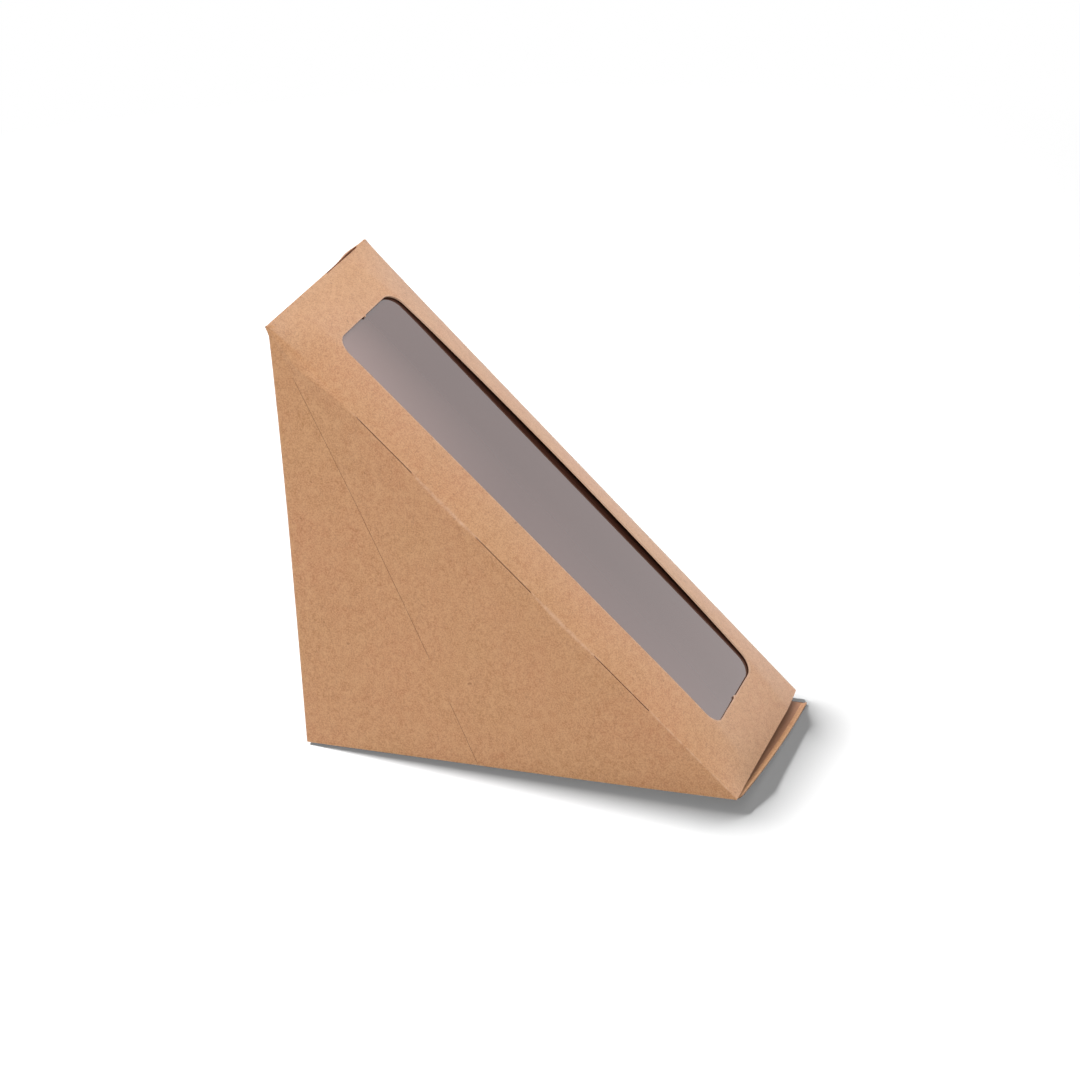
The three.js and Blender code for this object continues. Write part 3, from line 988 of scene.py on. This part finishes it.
# Across a fold: the cells that a slit opens, and the columns whose edges it darkens with painted
# shade.
LONG_SLIT = (slice(4, 7), slice(4, 8))
NEAR_TOP_SLIT = (slice(7, 10), slice(8, 12))
FAR_TOP_SLIT = (slice(2, 8), slice(8, None))
WORN_START = 30 * MM
WORN_RUN = 5 * MM
WORN_SPREAD = 1.5


def add_front_and_long_folds(shape, shell, rows, columns, slits):
    """The front panel, then a long fold at each side with its slits. A long fold is worn as a
    bell across it, all along but for the soft bend at the top and the slits."""
    rim = np.where(ring_shares() == 0, 1.0, 0.0)[None, :]
    shell.add(front_ring(shape, rows, columns), closed=True, fold=rim)
    opened, painted_shade_columns = LONG_SLIT
    keep = np.ones((len(rows) - 1, FOLD_COLUMNS), dtype=bool)
    keep[inside_spans(rows, slits), opened] = False
    # Painted shade: the columns at each slit's edges take the slit colour on the inside and the cut
    # edges.
    edges = np.zeros((len(rows), FOLD_COLUMNS + 1))
    edges[in_spans(rows, slits), painted_shade_columns] = 1
    bell = np.exp(-np.linspace(-WORN_SPREAD, WORN_SPREAD, FOLD_COLUMNS + 1) ** 2)[None, :]
    worn = bell * np.clip((rows - WORN_START) / WORN_RUN, 0, 1)[:, None] * (1 - edges)
    for side in (-1, 1):
        shell.add(long_fold(shape, rows, side), keep=keep, flip=side > 0, fold=worn, slit=edges)


def add_sides(shape, shell, rows):
    """Each side panel with the knife cut in its crease, and its glue flap."""
    columns = len(wing_shares())
    down = rows / shape.slope
    keep = np.ones((len(rows) - 1, columns - 1), dtype=bool)
    keep[inside_spans(down, SCORE_SPANS), WING_COLUMNS:WING_COLUMNS + 2] = False
    # Painted shade: the columns at the knife cut's edges take the slit colour.
    edges = np.zeros((len(rows), columns))
    edges[in_spans(down, SCORE_SPANS), WING_COLUMNS:WING_COLUMNS + 3] = 1
    side_rows = np.append(rows[:-1], shape.slope)
    for side in (-1, 1):
        shell.add(side_wing(shape, side_rows, side), keep=keep, flip=side > 0, slit=edges)
        shell.add(glue_flap(shape, side_rows, side), flip=side > 0)


def add_top_and_back(shape, shell, columns, slits):
    """The top fold with its two slits, and the back panel."""
    fold = apex_fold(shape, columns)
    keep = np.ones((len(columns) - 1, fold.shape[1] - 1), dtype=bool)
    # Painted shade: the columns by each top slit take the slit colour, behind the far slit on to the
    # back of the fold.
    edges = np.zeros(fold.shape[:2])
    for span, (opened, painted_shade_columns) in zip(slits, (NEAR_TOP_SLIT, FAR_TOP_SLIT)):
        keep[inside_spans(columns, [span]), opened] = False
        edges[in_spans(columns, [span]), painted_shade_columns] = 1
    shell.add(fold, keep=keep, slit=edges, flip=True)
    shell.add(back_sheet(shape, columns), flip=True)


def add_dust_flaps(shape, shell):
    """Two dust flaps at each side, behind the gusset crease and in front of it."""
    front_stop = -shape.half_leg + shape.tuck_length * HALF_ROOT + DUST_TO_TUCK
    for side in (-1, 1):
        for start, end in ((shape.crease_foot + DUST_GAP, shape.half_leg - 2 * DUST_GAP),
                           (front_stop, shape.crease_foot - DUST_GAP)):
            shell.add(dust_flap(shape, side, start, end), flip=side < 0)


class WEDGE_OT_carton(bpy.types.Operator):
    """Builds the folded board blank: front, sides, back, glue flaps and dust flaps."""
    bl_idname = "wedge.carton"
    bl_label = "Carton"

    def execute(self, context):
        shape = shape_of(context)
        rows, slits = slope_rows(shape)
        columns, top_slits = depth_columns(shape)
        shell = Shell()
        add_front_and_long_folds(shape, shell, rows, columns, slits)
        add_sides(shape, shell, rows)
        add_top_and_back(shape, shell, columns, top_slits)
        add_dust_flaps(shape, shell)
        piece = shell_object(context, shape, "kraft_carton", shell, shape.board,
                             board_materials(context))
        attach(piece, CARTON_BODY)
        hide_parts("carton")
        return {"FINISHED"}


class WEDGE_OT_lid(bpy.types.Operator):
    """Builds the base lid with its front fold and tuck flap."""
    bl_idname = "wedge.lid"
    bl_label = "Base lid"

    def execute(self, context):
        shape = shape_of(context)
        shell = Shell()
        shell.add(lid_sheet(shape), flip=True)
        piece = shell_object(context, shape, "kraft_lid", shell, shape.board,
                             board_materials(context), by_hand=False)
        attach(piece, LID_BODY)
        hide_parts("base_lid")
        return {"FINISHED"}


class WEDGE_OT_film(bpy.types.Operator):
    """Builds the clear film behind the window."""
    bl_idname = "wedge.film"
    bl_label = "Window film"

    def execute(self, context):
        shape = shape_of(context)
        shell = Shell()
        shell.add(film_sheet(shape), flip=True)
        piece = shell_object(context, shape, "film_pane", shell, shape.film_thickness,
                             [film_material(context.scene.wedge_colours)])
        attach(piece, CARTON_BODY)
        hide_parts("window_film")
        return {"FINISHED"}


class WEDGE_PT_panel(bpy.types.Panel):
    """Lists the pack's operators, sizes and colours."""
    bl_label = "Wedge Pack"
    bl_idname = "WEDGE_PT_panel"
    bl_space_type = "VIEW_3D"
    bl_region_type = "UI"
    bl_category = "Wedge Pack"

    def draw(self, context):
        for operator in OPERATORS:
            self.layout.operator(operator.bl_idname)
        for group in (context.scene.wedge_sizes, context.scene.wedge_colours):
            for name in group.__annotations__:
                self.layout.prop(group, name)


OPERATORS = (WEDGE_OT_stage, WEDGE_OT_carton, WEDGE_OT_lid, WEDGE_OT_film)
CLASSES = (WedgeSizes, WedgeColours, *OPERATORS, WEDGE_PT_panel)


def register():
    """Registers the classes and gives the scene its sizes and colours."""
    for cls in CLASSES:
        bpy.utils.register_class(cls)
    bpy.types.Scene.wedge_sizes = PointerProperty(type=WedgeSizes)
    bpy.types.Scene.wedge_colours = PointerProperty(type=WedgeColours)


def unregister():
    """Takes the sizes, the colours and the classes away again."""
    del bpy.types.Scene.wedge_colours
    del bpy.types.Scene.wedge_sizes
    for cls in reversed(CLASSES):
        bpy.utils.unregister_class(cls)


def main():
    """Builds the stage and the pack."""
    register()
    bpy.ops.wedge.stage()
    bpy.ops.wedge.carton()
    bpy.ops.wedge.lid()
    bpy.ops.wedge.film()


if __name__ == "__main__":
    main()
